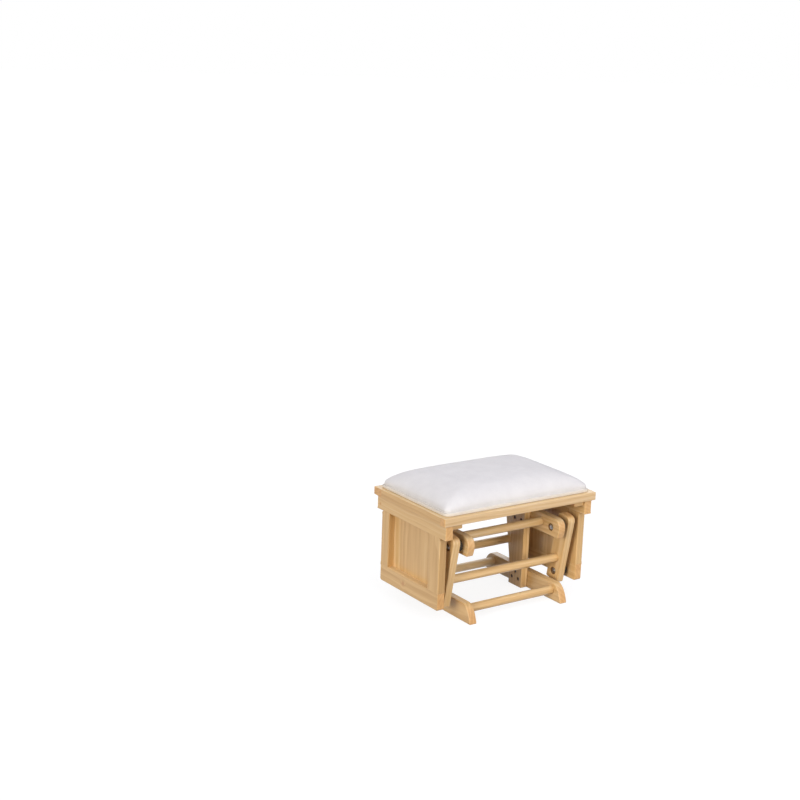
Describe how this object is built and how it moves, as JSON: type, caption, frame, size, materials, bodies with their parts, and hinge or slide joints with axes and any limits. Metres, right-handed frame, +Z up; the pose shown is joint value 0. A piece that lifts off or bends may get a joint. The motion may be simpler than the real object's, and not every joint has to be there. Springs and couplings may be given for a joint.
{
  "type": "glider ottoman",
  "caption": "Wooden glider ottoman: a padded seat on side panels hangs from a dowelled base by leaning swing arms and glides to and fro.",
  "frame": {"origin": "on the floor, under the middle of the seat at rest", "axes": "+X along the dowels to the object's right, +Y to the rear, +Z up; the wide face with the front dowels looks along -Y"},
  "size_m": [0.5, 0.34, 0.3538],
  "materials": {
    "maple": "clear satin lacquer",
    "maple_field": "clear satin lacquer on veneered board",
    "plywood": "unfinished plywood",
    "bolt_steel": "zinc plated",
    "bearing_nylon": "black moulded nylon",
    "insert_brass": "plain",
    "cushion_fabric": "plain woven upholstery"
  },
  "bodies": {
    "base": {"left_foot": "maple", "left_top_bar": "maple", "left_post": "maple", "right_foot": "maple", "right_top_bar": "maple", "right_post": "maple", "front_foot_dowel": "maple", "front_bar_dowel": "maple", "rear_foot_dowel": "maple", "rear_bar_dowel": "maple", "front_left_upper_bolt": "bolt_steel", "front_left_lock_nut": "bolt_steel", "front_right_upper_bolt": "bolt_steel", "front_right_lock_nut": "bolt_steel", "rear_left_upper_bolt": "bolt_steel", "rear_left_lock_nut": "bolt_steel", "rear_right_upper_bolt": "bolt_steel", "rear_right_lock_nut": "bolt_steel"},
    "front_swing_arms": {"front_arm_dowel": "maple", "front_left_arm": "maple", "front_left_upper_bearing": "bearing_nylon", "front_left_lower_bearing": "bearing_nylon", "front_right_arm": "maple", "front_right_upper_bearing": "bearing_nylon", "front_right_lower_bearing": "bearing_nylon"},
    "rear_swing_arms": {"rear_arm_dowel": "maple", "rear_left_arm": "maple", "rear_left_upper_bearing": "bearing_nylon", "rear_left_lower_bearing": "bearing_nylon", "rear_right_arm": "maple", "rear_right_upper_bearing": "bearing_nylon", "rear_right_lower_bearing": "bearing_nylon"},
    "seat": {"left_front_stile": "maple", "left_rear_stile": "maple", "left_bottom_rail": "maple", "left_field_board": "maple_field", "left_side_rail": "maple", "left_top_board": "maple", "right_front_stile": "maple", "right_rear_stile": "maple", "right_bottom_rail": "maple", "right_field_board": "maple_field", "right_side_rail": "maple", "right_top_board": "maple", "front_top_board": "maple", "front_left_corner_block": "maple", "front_left_lower_bolt": "bolt_steel", "front_left_insert": "insert_brass", "front_right_corner_block": "maple", "front_right_lower_bolt": "bolt_steel", "front_right_insert": "insert_brass", "rear_top_board": "maple", "rear_left_corner_block": "maple", "rear_left_lower_bolt": "bolt_steel", "rear_left_insert": "insert_brass", "rear_right_corner_block": "maple", "rear_right_lower_bolt": "bolt_steel", "rear_right_insert": "insert_brass", "seat_deck": "plywood", "cushion": "cushion_fabric"}
  },
  "joints": [
    {"name": "front_arm_swing", "type": "hinge", "parent": "base", "child": "front_swing_arms", "pos_m": [0, -0.112, 0.2], "axis": [1, 0, 0], "range_deg": [-15, 15]},
    {"name": "rear_arm_swing", "type": "hinge", "parent": "base", "child": "rear_swing_arms", "pos_m": [0, 0.112, 0.2], "axis": [1, 0, 0], "range_deg": [-15.2, 15.2]},
    {"name": "seat_pivot", "type": "hinge", "parent": "front_swing_arms", "child": "seat", "pos_m": [0, -0.086, 0.061], "axis": [1, 0, 0], "range_deg": [-19.6, 19.6]}
  ],
  "couplings": [
    {"joint": "rear_arm_swing", "follows": "front_arm_swing", "ratio": 1},
    {"joint": "seat_pivot", "follows": "front_arm_swing", "ratio": -1.295}
  ]
}
